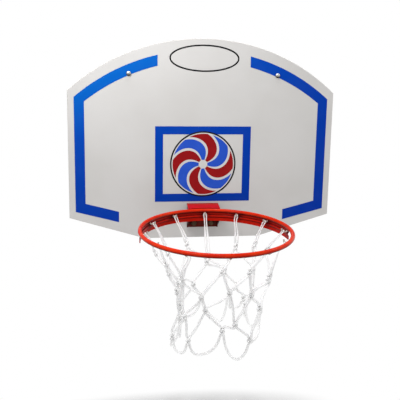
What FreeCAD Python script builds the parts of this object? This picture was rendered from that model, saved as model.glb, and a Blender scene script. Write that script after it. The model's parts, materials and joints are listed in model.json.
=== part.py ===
import FreeCAD, Part
import math
import os

# Wall-hung junior basketball backboard with a fixed rim and a cord net, in millimetres.
# Origin: midway between the two hanging holes, on the back face of the panel.
# X runs across the board, Y points into the wall and Z points up, so the front faces -Y.

# Backboard panel
board_width = 600.0
board_height = 450.0
board_thickness = 10.0
board_edge_ease = 0.8
top_arc_rise = 116.0
bottom_flat_width = 266.0
bottom_slope_rise = 50.0
hang_hole_diameter = 9.0
hang_hole_spacing = 334.0
hang_hole_drop = 78.0

# Marking films on the front face
film_thickness = 0.25
border_width = 20.0
border_side_inset = 15.0
border_edge_inset = 20.0
border_top_gap = 208.0
border_bottom_gap = 382.0
target_width = 218.0
target_height = 172.0
target_line_width = 18.0
target_clearance = 4.5

# Rim: bent round rod with a pressed half band welded under its back half
ring_radius = 145.0
ring_rod_diameter = 8.0
ring_board_gap = 30.0
ring_below_bracket_top = 9.5
band_height = 19.5
band_thickness = 2.0
band_bead_depth = 1.8
band_bead_half_height = 3.2
band_bead_drop = 8.5
band_sweep_degrees = 180.0

# Bracket: folded channel with a welded top plate
bracket_width = 72.0
bracket_height = 55.5
bracket_rise = 25.0
bracket_sheet = 2.5
bracket_bend_radius = 2.5
bracket_toe = 5.0
top_plate_fall = 5.0
top_plate_lap_share = 0.6

# Bracket bolts, washers and tee nuts
bolt_spacing = 39.0
bolt_rise = 9.5
bolt_diameter = 6.0
bolt_end_clearance = 1.6
bolt_hole_diameter = 6.6
bolt_head_flats = 10.0
bolt_head_height = 4.0
washer_diameter = 12.0
washer_thickness = 1.6
tee_flange_diameter = 19.0
tee_flange_thickness = 1.2
tee_flange_recess = 0.3
tee_barrel_diameter = 7.8
tee_barrel_clearance = 0.5
thread_clearance = 0.05
fit_clearance = 0.1

# Net hooks: bent wire welded to the inner underside of the rod
hook_wire = 3.0
hook_drop = 7.0
hook_stem = 4.0
hook_reach = 13.2
hook_rise = 6.0
hook_lean = 1.0
hook_bend_radius = 2.6

# Net: cord loops, one on each hook, that meet each other at the joint rows
net_loops = 12
cord_diameter = 5.0
cord_sides = 6
cord_gap = 0.5
net_length = 220.0
net_tail_radius = 80.0
net_taper_length = 65.0
net_joint_length = 16.0
net_joint_row_shares = (0.21, 0.40, 0.59, 0.78)
net_tail_turns_share = (1.0 / 3.0, 2.0 / 3.0, 1.0)

# The worn net is slack: how far each joint has slipped along the rim, upwards and inwards, in
# whole steps. One group for each joint row, counted from the back, then the tails
net_slip_step = 5.0
net_slip_shares = (
    ((0, -7, 3), (-1, -2, 1), (0, -3, 0), (0, 1, -1), (-2, 0, 0), (-4, -3, -2),
     (-1, 1, 2), (0, -1, 2), (-2, -5, -2), (1, 1, 1), (0, 0, 0), (-2, -3, 0)),
    ((-5, -2, -1), (0, -5, 1), (2, 0, 1), (2, -1, 3), (-3, 1, 2), (-3, -1, -1),
     (-2, 0, 2), (-3, -2, 0), (0, -1, -2), (-1, 1, 3), (-6, -3, -2), (-3, -4, 3)),
    ((-7, 2, -2), (-2, -2, 1), (1, -1, 3), (-2, 1, 3), (-2, -1, 2), (-5, -2, -1),
     (-6, 1, 2), (-5, -3, -1), (-1, -1, -1), (-1, 1, 3), (-4, -2, 0), (-4, -2, 1)),
    ((-2, 0, 0), (1, -2, 0), (-2, -1, 3), (-3, 0, 3), (-7, -4, -2), (-8, -2, -2),
     (-3, 1, 3), (-2, -3, -1), (2, 3, -1), (0, 2, 3), (-2, 1, -2), (-5, 2, 0)),
    ((-5, 0, 3), (0, 2, 0), (-3, 0, 0), (-2, 0, 3), (-6, 0, -1), (-8, 1, -2),
     (-8, 2, 0), (-4, 1, -2), (2, 5, -1), (0, 4, 1), (1, 4, -2), (-1, 5, -1)),
)

# Every cut runs past its faces by this much
overrun = 2.0

# Heights and places worked out from the sizes above
half_width = board_width / 2
front_y = -board_thickness
top_z = hang_hole_drop
bottom_z = top_z - board_height
arc_radius = (half_width ** 2 + top_arc_rise ** 2) / (2 * top_arc_rise)
arc_centre_z = top_z - arc_radius
slope_angle = math.atan2(bottom_slope_rise, half_width - bottom_flat_width / 2)
side_mid_z = (top_z - top_arc_rise + bottom_z + bottom_slope_rise) / 2

bracket_bottom_z = bottom_z + bracket_rise
bracket_top_z = bracket_bottom_z + bracket_height
bolt_z = bracket_bottom_z + bolt_rise
target_z = bracket_top_z + target_clearance + target_height / 2
bolt_length = board_thickness + bracket_sheet + washer_thickness - bolt_end_clearance
tee_recess_depth = tee_flange_thickness + tee_flange_recess
tee_barrel_length = board_thickness - tee_recess_depth - tee_barrel_clearance

ring_rod_radius = ring_rod_diameter / 2
ring_y = front_y - ring_board_gap - ring_radius
ring_z = bracket_top_z - ring_below_bracket_top
ring_centre = FreeCAD.Vector(0, ring_y, ring_z)
band_bottom_z = ring_z - ring_rod_radius - band_height
bracket_reach_y = ring_y + ring_radius / 2

x_axis = FreeCAD.Vector(1, 0, 0)
y_axis = FreeCAD.Vector(0, 1, 0)
z_axis = FreeCAD.Vector(0, 0, 1)


def point(x, y, z):
    return FreeCAD.Vector(x, y, z)


def face_of(points):
    return Part.Face(Part.makePolygon(list(points) + [points[0]]))


def rod_along_y(x, z, diameter, y_from, y_to):
    return Part.makeCylinder(diameter / 2, y_to - y_from, point(x, y_from, z), y_axis)


def board_outline(side_inset, edge_inset):
    # Arched top, upright sides and a base that slopes in to a short flat, all set in from the
    # panel's edge. Lies in the plane of the back face.
    half = half_width - side_inset
    radius = arc_radius - edge_inset
    corner_z = arc_centre_z + math.sqrt(radius ** 2 - half ** 2)
    base_z = bottom_z + edge_inset
    base_half = bottom_flat_width / 2 - edge_inset * math.tan(slope_angle / 2)
    side_z = base_z + (half - base_half) * math.tan(slope_angle)
    corners = [point(half, 0, corner_z), point(half, 0, side_z), point(base_half, 0, base_z),
               point(-base_half, 0, base_z), point(-half, 0, side_z), point(-half, 0, corner_z)]
    crown = Part.Arc(corners[-1], point(0, 0, arc_centre_z + radius), corners[0]).toShape()
    return Part.Face(Part.Wire(Part.makePolygon(corners).Edges + [crown]))


def bolt_places():
    return [side * bolt_spacing / 2 for side in (-1, 1)]


def backboard_panel():
    slab = board_outline(0, 0).extrude(point(0, front_y, 0))
    rims = [edge for edge in slab.Edges if edge.BoundBox.YLength < board_thickness / 2]
    panel = slab.makeChamfer(board_edge_ease, rims)
    for side in (-1, 1):
        hole = rod_along_y(side * hang_hole_spacing / 2, 0, hang_hole_diameter, front_y - overrun, overrun)
        panel = panel.cut(hole)
    for x in bolt_places():
        bore = tee_barrel_diameter + 2 * fit_clearance
        seat = tee_flange_diameter + 2 * fit_clearance
        panel = panel.cut(rod_along_y(x, bolt_z, bore, front_y - overrun, overrun))
        panel = panel.cut(rod_along_y(x, bolt_z, seat, -tee_recess_depth, overrun))
    return panel


def film(face):
    sheet = face.extrude(point(0, -film_thickness, 0))
    sheet.translate(point(0, front_y, 0))
    return sheet


def border_stripes():
    # One stripe follows the whole edge, then the middle of the top and of the base are opened.
    outer = board_outline(border_side_inset, border_edge_inset)
    inner = board_outline(border_side_inset + border_width, border_edge_inset + border_width)
    stripe = film(outer).cut(film(inner))
    for gap, low, high in ((border_top_gap, side_mid_z, top_z), (border_bottom_gap, bottom_z, side_mid_z)):
        window = Part.makeBox(gap, board_thickness, high - low,
                              point(-gap / 2, front_y - board_thickness / 2, low))
        stripe = stripe.cut(window)
    right, left = sorted(stripe.Solids, key=lambda solid: -solid.CenterOfMass.x)
    return left, right


def target_square():
    half = target_width / 2
    tall = target_height / 2
    sheets = []
    for line in (0, target_line_width):
        x = half - line
        z = tall - line
        corners = [point(-x, 0, target_z - z), point(x, 0, target_z - z),
                   point(x, 0, target_z + z), point(-x, 0, target_z + z)]
        sheets.append(film(face_of(corners)))
    return sheets[0].cut(sheets[1])


def rim_ring():
    return Part.makeTorus(ring_radius, ring_rod_radius, ring_centre, z_axis)


def rim_band():
    # Strip section with one pressed bead, turned evenly about the back of the rim.
    inner = ring_radius - band_thickness / 2
    outer = ring_radius + band_thickness / 2
    bead_z = ring_z - ring_rod_radius - band_bead_drop

    def bead(radius, start_side):
        start = point(radius, ring_y, bead_z + start_side * band_bead_half_height)
        crest = point(radius - band_bead_depth, ring_y, bead_z)
        end = point(radius, ring_y, bead_z - start_side * band_bead_half_height)
        return Part.Arc(start, crest, end).toShape(), start, end

    inner_bead, inner_high, inner_low = bead(inner, 1)
    outer_bead, outer_low, outer_high = bead(outer, -1)
    toe_in = point(inner, ring_y, band_bottom_z)
    toe_out = point(outer, ring_y, band_bottom_z)
    head_out = point(outer, ring_y, ring_z)
    head_in = point(inner, ring_y, ring_z)
    edges = [inner_bead]
    edges += Part.makePolygon([inner_low, toe_in, toe_out, outer_low]).Edges
    edges += [outer_bead]
    edges += Part.makePolygon([outer_high, head_out, head_in, inner_high]).Edges
    section = Part.Face(Part.Wire(edges))
    band = section.revolve(ring_centre, z_axis, band_sweep_degrees)
    band.rotate(ring_centre, z_axis, 90 - band_sweep_degrees / 2)
    return band.cut(rim_ring())


def bracket_channel():
    # Folded from one sheet: a back plate on the board and two cheeks that reach the band.
    half = bracket_width / 2
    outer_bend = bracket_bend_radius + bracket_sheet
    bend_y = front_y - outer_bend
    turn = math.sqrt(0.5)

    def fold(side, radius):
        centre = point(side * (half - outer_bend), bend_y, bracket_bottom_z)
        start = centre + point(side * radius, 0, 0)
        crest = centre + point(side * radius * turn, radius * turn, 0)
        end = centre + point(0, radius, 0)
        return start, crest, end

    right_out = fold(1, outer_bend)
    left_out = fold(-1, outer_bend)
    right_in = fold(1, bracket_bend_radius)
    left_in = fold(-1, bracket_bend_radius)
    tips = [point(x, bracket_reach_y, bracket_bottom_z)
            for x in (half, half - bracket_sheet, bracket_sheet - half, -half)]
    edges = [Part.LineSegment(tips[0], right_out[0]).toShape(), Part.Arc(*right_out).toShape(),
             Part.LineSegment(right_out[2], left_out[2]).toShape(), Part.Arc(*left_out).toShape(),
             Part.LineSegment(left_out[0], tips[3]).toShape(),
             Part.LineSegment(tips[3], tips[2]).toShape(),
             Part.LineSegment(tips[2], left_in[0]).toShape(), Part.Arc(*left_in).toShape(),
             Part.LineSegment(left_in[2], right_in[2]).toShape(), Part.Arc(*right_in).toShape(),
             Part.LineSegment(right_in[0], tips[1]).toShape(),
             Part.LineSegment(tips[1], tips[0]).toShape()]
    section = Part.Face(Part.Wire(Part.__sortEdges__(edges)))
    channel = section.extrude(point(0, 0, bracket_height))
    channel = channel.cut(bracket_lower_waste()).cut(above_top_plate()).cut(inside_of_rim())
    channel = channel.cut(rim_ring())
    for x in bolt_places():
        hole = rod_along_y(x, bolt_z, bolt_hole_diameter, front_y - outer_bend - overrun, front_y + overrun)
        channel = channel.cut(hole)
    return channel


def across_bracket(profile):
    # Prism of the bracket's full width, and a little more, from a profile of (y, z) corners.
    half = bracket_width / 2 + overrun
    return face_of([point(-half, y, z) for y, z in profile]).extrude(point(2 * half, 0, 0))


def bracket_lower_waste():
    # The cheeks' lower edges rise from the toe of the back plate to the foot of the band.
    plate_y = front_y - bracket_sheet - bracket_bend_radius
    band_y = ring_y + ring_radius
    toe_z = bracket_bottom_z + bracket_toe
    slope = (band_bottom_z - toe_z) / (plate_y - band_y)
    reach_z = toe_z + slope * (plate_y - bracket_reach_y)
    low_z = bracket_bottom_z - overrun
    return across_bracket([(plate_y, low_z), (plate_y, toe_z),
                           (bracket_reach_y, reach_z), (bracket_reach_y, low_z)])


def top_plate_z(y):
    # Height of the top plate's upper face, which falls from the board to the rod.
    return bracket_top_z - top_plate_fall * (front_y - y) / ring_board_gap


def above_top_plate():
    back_y = front_y + overrun
    high_z = bracket_top_z + bracket_height
    return across_bracket([(back_y, top_plate_z(back_y) - bracket_sheet),
                           (bracket_reach_y, top_plate_z(bracket_reach_y) - bracket_sheet),
                           (bracket_reach_y, high_z), (back_y, high_z)])


def inside_of_rim():
    # Everything inside the outer face of the band, as tall as the bracket.
    radius = ring_radius + band_thickness / 2
    tall = bracket_height + 2 * overrun
    return Part.makeCylinder(radius, tall, point(0, ring_y, bracket_bottom_z - overrun), z_axis)


def bracket_top_plate():
    half = bracket_width / 2
    corners = [(front_y, top_plate_z(front_y)), (bracket_reach_y, top_plate_z(bracket_reach_y)),
               (bracket_reach_y, top_plate_z(bracket_reach_y) - bracket_sheet),
               (front_y, top_plate_z(front_y) - bracket_sheet)]
    plate = face_of([point(-half, y, z) for y, z in corners]).extrude(point(bracket_width, 0, 0))
    lap_radius = ring_radius + ring_rod_radius * top_plate_lap_share
    tall = bracket_height + 2 * overrun
    inside = Part.makeCylinder(lap_radius, tall, point(0, ring_y, bracket_bottom_z), z_axis)
    return plate.cut(inside).cut(rim_ring())


def bracket_bolts():
    seat_y = front_y - bracket_sheet - washer_thickness
    corner_radius = bolt_head_flats / math.sqrt(3)
    bolts = []
    for x in bolt_places():
        corners = []
        for step in range(6):
            angle = math.radians(60 * step)
            corners.append(point(x + corner_radius * math.cos(angle), seat_y,
                                 bolt_z + corner_radius * math.sin(angle)))
        head = face_of(corners).extrude(point(0, -bolt_head_height, 0))
        shank = rod_along_y(x, bolt_z, bolt_diameter, seat_y, seat_y + bolt_length)
        bolts.append(head.fuse(shank).removeSplitter())
    return Part.makeCompound(bolts)


def bracket_washers():
    plate_y = front_y - bracket_sheet
    washers = []
    for x in bolt_places():
        disc = rod_along_y(x, bolt_z, washer_diameter, plate_y - washer_thickness, plate_y)
        hole = rod_along_y(x, bolt_z, bolt_diameter + 2 * fit_clearance,
                           plate_y - washer_thickness - overrun, plate_y + overrun)
        washers.append(disc.cut(hole))
    return Part.makeCompound(washers)


def tee_nuts():
    flange_y = -tee_recess_depth
    nuts = []
    for x in bolt_places():
        flange = rod_along_y(x, bolt_z, tee_flange_diameter, flange_y, flange_y + tee_flange_thickness)
        barrel = rod_along_y(x, bolt_z, tee_barrel_diameter, flange_y - tee_barrel_length, flange_y)
        bore = rod_along_y(x, bolt_z, bolt_diameter + 2 * thread_clearance,
                           flange_y - tee_barrel_length - overrun, overrun)
        nuts.append(flange.fuse(barrel).removeSplitter().cut(bore))
    return Part.makeCompound(nuts)


def around_rim(shape, index):
    # Turns a shape built on the rim's right-hand side to its place, counted from the back.
    turned = shape.copy()
    turned.rotate(ring_centre, z_axis, 90 + 360 * index / net_loops)
    return turned


def rim_point(radius, angle, height):
    # A point near the rim's right-hand side: its distance from the axis, the way round and up.
    return ring_centre + point(radius * math.cos(angle), radius * math.sin(angle), height)


def bent_wire(points, bend_radius, diameter):
    # Round wire through straight runs, with an equal bend at each inner corner.
    edges = []
    start = points[0]
    for before, corner, after in zip(points, points[1:], points[2:]):
        back = (before - corner).normalize()
        ahead = (after - corner).normalize()
        half_angle = back.getAngle(ahead) / 2
        setback = bend_radius / math.tan(half_angle)
        middle = (back + ahead).normalize()
        crest = corner + middle * (bend_radius / math.sin(half_angle) - bend_radius)
        entry = corner + back * setback
        leave = corner + ahead * setback
        edges.append(Part.LineSegment(start, entry).toShape())
        edges.append(Part.Arc(entry, crest, leave).toShape())
        start = leave
    edges.append(Part.LineSegment(start, points[-1]).toShape())
    path = Part.Wire(edges)
    disc = Part.Wire(Part.makeCircle(diameter / 2, points[0], points[1] - points[0]))
    return path.makePipeShell([disc], True, False)


def net_hook():
    corners = [(0, 0), (hook_stem, -hook_drop), (hook_reach, -hook_drop),
               (hook_reach + hook_lean, hook_rise - hook_drop)]
    route = [rim_point(ring_radius - reach, 0, height) for reach, height in corners]
    return bent_wire(route, hook_bend_radius, hook_wire).cut(rim_ring())


def net_radius(drop):
    # The net closes in quickly under the rim, then hangs almost straight.
    mouth = ring_radius - (hook_stem + hook_reach) / 2
    return net_tail_radius + (mouth - net_tail_radius) * math.exp(-drop / net_taper_length)


def net_strand(index, side):
    # One side of a loop, from the top of its hook to the middle of its tail. Its odd joint rows
    # are shared with the next loop on that side.
    saddle_radius = (hook_wire + cord_diameter) / 2 + cord_gap
    saddle_z = saddle_radius - hook_drop
    mate = (cord_diameter + cord_gap) / 2
    route = []
    for turn in (90, 45, 0):
        bend = math.radians(turn)
        height = saddle_z - saddle_radius * (1 - math.sin(bend))
        radius = net_radius(saddle_z - height)
        route.append((radius, side * saddle_radius * math.cos(bend) / radius, height))
    for row, share in enumerate(net_joint_row_shares):
        shared = row % 2
        owner = index - 1 if shared and side < 0 else index
        along, up, inward = [net_slip_step * slip for slip in net_slip_shares[row][owner]]
        for end in (-1, 1):
            height = saddle_z - net_length * share + up - end * net_joint_length / 2
            radius = net_radius(saddle_z - height) - inward
            tangent = along - side * mate if shared else along + side * mate
            route.append((radius, side * shared * math.pi / net_loops + tangent / radius, height))
    along, up, foot_inward = [net_slip_step * slip for slip in net_slip_shares[-1][index]]
    foot_z = saddle_z - net_length + up
    foot_angle = along / (net_radius(saddle_z - foot_z) - foot_inward)
    last_angle, last_z = route[-1][1:]
    for share in net_tail_turns_share:
        bend = share * math.pi / 2
        height = last_z + (foot_z - last_z) * math.sin(bend)
        sunk = foot_inward + (inward - foot_inward) * math.cos(bend)
        angle = foot_angle + (last_angle - foot_angle) * math.cos(bend)
        route.append((net_radius(saddle_z - height) - sunk, angle, height))
    return [rim_point(*place) for place in route]


def net_loop(index):
    # Faceted cord: a polygon carried round the loop and mitred at each of its points. The way
    # round leaves it turned, and the runs of the tail turn it back to meet its start.
    right = net_strand(index, 1)
    left = net_strand(index, -1)
    route = right + left[-2:0:-1]
    count = len(route)
    runs = [(after - before).normalize() for before, after in zip(route, route[1:] + route[:1])]
    across = [(x_axis - runs[0] * x_axis.dot(runs[0])).normalize()]
    for before, after in zip(runs, runs[1:] + runs[:1]):
        carried = across[-1]
        across.append(carried - (before + after) * (carried.dot(after) / (1 + before.dot(after))))
    side_angle = 2 * math.pi / cord_sides
    gained = math.atan2(across[-1].dot(runs[0].cross(across[0])), across[-1].dot(across[0]))
    shift = round(gained / side_angle)
    tail_runs = len(net_tail_turns_share)
    tail_start = len(right) - 1 - tail_runs
    rings = []
    for place in range(count):
        run = runs[place]
        mitre = (runs[place - 1] + run).normalize()
        turned = min(max((place - tail_start) / (2 * tail_runs), 0), 1) * (gained - shift * side_angle)
        ring = []
        for side in range(cord_sides):
            angle = side_angle * (side + 0.5) - turned
            corner = across[place] * math.cos(angle) + run.cross(across[place]) * math.sin(angle)
            corner = corner * (cord_diameter / 2)
            ring.append(route[place] + corner - run * (corner.dot(mitre) / run.dot(mitre)))
        rings.append(ring)
    rings.append([rings[0][(side + shift) % cord_sides] for side in range(cord_sides)])
    faces = []
    for place, (ring, carried) in enumerate(zip(rings, rings[1:])):
        for side in range(cord_sides):
            after = (side + 1) % cord_sides
            if tail_start <= place < tail_start + 2 * tail_runs:
                faces.append(face_of([ring[side], ring[after], carried[after]]))
                faces.append(face_of([ring[side], carried[after], carried[side]]))
            else:
                faces.append(face_of([ring[side], ring[after], carried[after], carried[side]]))
    shell = Part.Shell(faces)
    shell.sewShape()
    length = sum((after - before).Length for before, after in zip(route, route[1:] + route[:1]))
    print(f"net loop {index + 1}: {length:.0f} mm of cord")
    return Part.Solid(shell)


def main():
    os.makedirs("parts", exist_ok=True)
    left_stripe, right_stripe = border_stripes()
    nodes = {
        "backboard_panel": backboard_panel(),
        "border_stripe_left": left_stripe,
        "border_stripe_right": right_stripe,
        "target_square": target_square(),
        "rim_ring": rim_ring(),
        "rim_band": rim_band(),
        "bracket_channel": bracket_channel(),
        "bracket_top_plate": bracket_top_plate(),
        "bracket_bolts": bracket_bolts(),
        "bracket_washers": bracket_washers(),
        "tee_nuts": tee_nuts(),
    }
    hook = net_hook()
    for index in range(net_loops):
        nodes[f"net_hook_{index + 1:02d}"] = around_rim(hook, index)
        nodes[f"net_loop_{index + 1:02d}"] = around_rim(net_loop(index), index)
    for name, shape in nodes.items():
        print(name, len(shape.Solids), shape.isValid(), round(shape.Volume, 1))
        shape.exportStep(f"parts/{name}.step")


main()
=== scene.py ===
import bmesh
import bpy
import json
import math
import random
from mathutils import Matrix, Vector


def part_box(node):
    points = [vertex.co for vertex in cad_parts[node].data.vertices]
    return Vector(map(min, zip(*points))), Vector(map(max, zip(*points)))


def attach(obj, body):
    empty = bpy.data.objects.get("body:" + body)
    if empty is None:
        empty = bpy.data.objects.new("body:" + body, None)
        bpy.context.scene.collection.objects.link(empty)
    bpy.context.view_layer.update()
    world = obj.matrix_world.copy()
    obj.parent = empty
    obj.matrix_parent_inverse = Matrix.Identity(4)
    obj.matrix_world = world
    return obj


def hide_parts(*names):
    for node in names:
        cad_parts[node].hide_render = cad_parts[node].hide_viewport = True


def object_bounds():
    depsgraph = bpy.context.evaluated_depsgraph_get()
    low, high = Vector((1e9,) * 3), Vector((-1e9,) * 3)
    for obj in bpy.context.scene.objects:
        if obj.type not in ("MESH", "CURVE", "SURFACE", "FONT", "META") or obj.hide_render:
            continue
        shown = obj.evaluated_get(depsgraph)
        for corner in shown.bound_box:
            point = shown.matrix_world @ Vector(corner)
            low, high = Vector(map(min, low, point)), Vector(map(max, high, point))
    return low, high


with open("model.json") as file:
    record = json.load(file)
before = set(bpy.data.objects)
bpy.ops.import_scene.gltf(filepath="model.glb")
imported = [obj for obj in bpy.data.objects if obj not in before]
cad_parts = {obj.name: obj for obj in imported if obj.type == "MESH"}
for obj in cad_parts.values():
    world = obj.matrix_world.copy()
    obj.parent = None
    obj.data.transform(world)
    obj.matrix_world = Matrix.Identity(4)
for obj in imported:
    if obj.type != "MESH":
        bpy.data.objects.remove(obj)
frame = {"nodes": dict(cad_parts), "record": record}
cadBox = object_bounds()
nodes = frame["nodes"]
print("frame loaded:", len(nodes), "nodes")

# places that the pieces below share, all read from the frame
panelLow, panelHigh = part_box("backboard_panel")
ringLow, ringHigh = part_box("rim_ring")
targetLow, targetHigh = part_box("target_square")
frontY = panelLow.y
ringCentre = (ringLow + ringHigh) / 2
rodRadius = (ringHigh.z - ringLow.z) / 2
ringRadius = (ringHigh.x - ringLow.x) / 2 - rodRadius
targetCentre = (targetLow + targetHigh) / 2


class Field:
    # one node socket; sums on it add Math nodes to its tree
    def __init__(self, tree, socket):
        self.tree = tree
        self.socket = socket

    def maths(self, operation, first, second=0.0):
        return self.tree.node("ShaderNodeMath", {"operation": operation}, {0: first, 1: second})[0]

    def __add__(self, other):
        return self.maths("ADD", self, other)

    def __radd__(self, other):
        return self.maths("ADD", other, self)

    def __sub__(self, other):
        return self.maths("SUBTRACT", self, other)

    def __rsub__(self, other):
        return self.maths("SUBTRACT", other, self)

    def __mul__(self, other):
        return self.maths("MULTIPLY", self, other)

    def __rmul__(self, other):
        return self.maths("MULTIPLY", other, self)

    def __truediv__(self, other):
        return self.maths("DIVIDE", self, other)

    def __gt__(self, other):
        return self.maths("GREATER_THAN", self, other)

    def __lt__(self, other):
        return self.maths("LESS_THAN", self, other)

    def sine(self):
        return self.maths("SINE", self)

    def cosine(self):
        return self.maths("COSINE", self)

    def root(self):
        return self.maths("SQRT", self)

    def unsigned(self):
        return self.maths("ABSOLUTE", self)

    def whole(self):
        return self.maths("ROUND", self)

    def atLeast(self, other):
        return self.maths("MAXIMUM", self, other)


class NodeTree:
    # a shader or geometry tree; every node in this file is made by its one method
    def __init__(self, tree):
        self.tree = tree

    def node(self, kind, settings=None, inputs=None):
        made = self.tree.nodes.new(kind)
        for key, value in (settings or {}).items():
            if key == "stops":
                while len(made.color_ramp.elements) < len(value):
                    made.color_ramp.elements.new(0.5)
                for element, (place, colour) in zip(made.color_ramp.elements, value):
                    element.position = place
                    element.color = colour
            else:
                setattr(made, key, value)
        for key, value in (inputs or {}).items():
            for item in value if isinstance(value, list) else [value]:
                if isinstance(item, Field):
                    self.tree.links.new(item.socket, made.inputs[key])
                else:
                    made.inputs[key].default_value = item
        outputs = {}
        for number, socket in enumerate(made.outputs):
            outputs[number] = Field(self, socket)
            outputs.setdefault(socket.name, outputs[number])
        return outputs

    def vector(self, x=0.0, y=0.0, z=0.0):
        return self.node("ShaderNodeCombineXYZ", None, {"X": x, "Y": y, "Z": z})[0]

    def mixColour(self, share, first, second, blend="MIX"):
        return self.node("ShaderNodeMix", {"data_type": "RGBA", "blend_type": blend},
                         {0: share, 6: first, 7: second})[2]

    def noise(self, vector, scale, detail, roughness=0.5):
        return self.node("ShaderNodeTexNoise", None,
                         {"Vector": vector, "Scale": scale, "Detail": detail, "Roughness": roughness})["Fac"]

    def spread(self, value, low, high, newLow=0.0, newHigh=1.0):
        return self.node("ShaderNodeMapRange", {"interpolation_type": "SMOOTHSTEP"},
                         {"Value": value, "From Min": low, "From Max": high,
                          "To Min": newLow, "To Max": newHigh})[0]

    def bump(self, height, strength, distance):
        return self.node("ShaderNodeBump", None,
                         {"Height": height, "Strength": strength, "Distance": distance})["Normal"]

    def objectCoords(self):
        return self.node("ShaderNodeTexCoord")["Object"]

    def split(self, vector):
        return self.node("ShaderNodeSeparateXYZ", None, {0: vector})

    def facing(self, axis):
        # how far the surface faces along one axis, from -1 to 1
        return self.split(self.node("ShaderNodeNewGeometry")["Normal"])[axis]

    def turned(self, geometry, rotation=(0, 0, 0), place=(0, 0, 0)):
        return self.node("GeometryNodeTransform", None,
                         {"Geometry": geometry, "Rotation": rotation, "Translation": place})[0]


def newMaterial(name, build):
    material = bpy.data.materials.new(name)
    material.use_nodes = True
    material.node_tree.nodes.clear()
    tree = NodeTree(material.node_tree)
    tree.node("ShaderNodeOutputMaterial", None, {"Surface": build(tree)})
    return material


def principled(tree, inputs):
    return tree.node("ShaderNodeBsdfPrincipled", None, inputs)["BSDF"]


# in the finishes a pattern is given by its scale, detail and roughness, and a bump by its strength and depth
# painted panel: satin lacquer on the front, thinner on the sawn edges and the back
panelFinish = {"front": (0.555, 0.545, 0.534, 1), "shade": (0.526, 0.515, 0.500, 1),
               "edge": (0.52, 0.50, 0.47, 1), "back": (0.57, 0.55, 0.52, 1), "flat": 0.9,
               "mottle": (7.0, 4.0), "mottleRange": (0.35, 0.7), "peel": (620.0, 2.0), "peelShare": 0.35,
               "fibre": (210.0, 6.0, 0.7), "fibreRange": (0.3, 0.7), "bump": (0.10, 0.0004),
               "rough": 0.38, "mottleRough": 0.10, "bareRough": 0.22, "backRough": 0.08,
               "ior": 1.48, "gloss": 0.22}


def paintPanel(tree):
    finish = panelFinish
    place = tree.objectCoords()
    facing = tree.facing("Y")
    front = facing < -finish["flat"]
    back = facing > finish["flat"]
    mottle = tree.noise(place, *finish["mottle"])
    peel = tree.noise(place, *finish["peel"])
    fibre = tree.noise(place, *finish["fibre"])
    colour = tree.mixColour(tree.spread(mottle, *finish["mottleRange"]), finish["front"], finish["shade"])
    bare = tree.mixColour(tree.spread(fibre, *finish["fibreRange"]), finish["edge"], finish["back"])
    colour = tree.mixColour(front, bare, colour)
    rough = finish["rough"] + finish["mottleRough"] * mottle
    rough = rough + finish["bareRough"] * (1 - front) + finish["backRough"] * back
    height = peel * finish["peelShare"] + fibre * (1 - front)
    return principled(tree, {"Base Color": colour, "Roughness": rough, "IOR": finish["ior"],
                             "Specular IOR Level": finish["gloss"],
                             "Normal": tree.bump(height, *finish["bump"])})


# printed marks: an even ink, a little thinner in places
inkFinish = {"cover": (26.0, 5.0, 0.6), "coverRange": (0.38, 0.72), "grain": (900.0, 2.0),
             "grainRough": 0.12, "bump": (0.06, 0.0003), "ior": 1.46, "gloss": 0.04}
# the ink where it is full, where it is thin, and how rough it dries
whiteTone = {"full": (0.573, 0.566, 0.556, 1), "thin": (0.540, 0.532, 0.521, 1), "rough": 0.38}
blackTone = {"full": (0.008, 0.008, 0.009, 1), "thin": (0.014, 0.014, 0.015, 1), "rough": 0.38}
paleBlueTone = {"full": (0.020, 0.075, 0.47, 1), "thin": (0.026, 0.085, 0.50, 1), "rough": 0.36}
darkRedTone = {"full": (0.250, 0.007, 0.009, 1), "thin": (0.285, 0.010, 0.011, 1), "rough": 0.36}


def inkCoat(tree, full, thin, rough):
    place = tree.objectCoords()
    cover = tree.spread(tree.noise(place, *inkFinish["cover"]), *inkFinish["coverRange"])
    grain = tree.noise(place, *inkFinish["grain"])
    colour = tree.mixColour(cover, full, thin)
    return principled(tree, {"Base Color": colour, "Roughness": rough + inkFinish["grainRough"] * grain,
                             "IOR": inkFinish["ior"], "Specular IOR Level": inkFinish["gloss"],
                             "Normal": tree.bump(grain, *inkFinish["bump"])})


def paintInk(tone):
    def build(tree):
        return inkCoat(tree, **tone)
    return build


# blue film of the border and the target, its colour made lighter towards the upper left, where the lamps fall
# strongest: painted light
filmFinish = {"stops": ((0.0, (0.001, 0.028, 0.30, 1)), (0.5, (0.001, 0.039, 0.343, 1)),
                        (0.68, (0.001, 0.052, 0.380, 1)), (1.0, (0.002, 0.152, 0.53, 1))),
              "paintedLightUp": 0.80, "paintedLightLeft": 0.35, "dark": -0.38, "pale": 0.15, "thin": 0.003, "rough": 0.34}


def paintFilm(tree):
    parts = tree.split(tree.objectCoords())
    # a gradient that lightens the blue up and to the left: painted light
    paintedLight = parts["Z"] * filmFinish["paintedLightUp"] - parts["X"] * filmFinish["paintedLightLeft"]
    share = (paintedLight - filmFinish["dark"]) / (filmFinish["pale"] - filmFinish["dark"])
    colour = tree.node("ShaderNodeValToRGB", {"stops": filmFinish["stops"]}, {"Fac": share})["Color"]
    paler = tree.mixColour(filmFinish["thin"], colour, (1, 1, 1, 1), "SCREEN")
    return inkCoat(tree, colour, paler, filmFinish["rough"])


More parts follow.
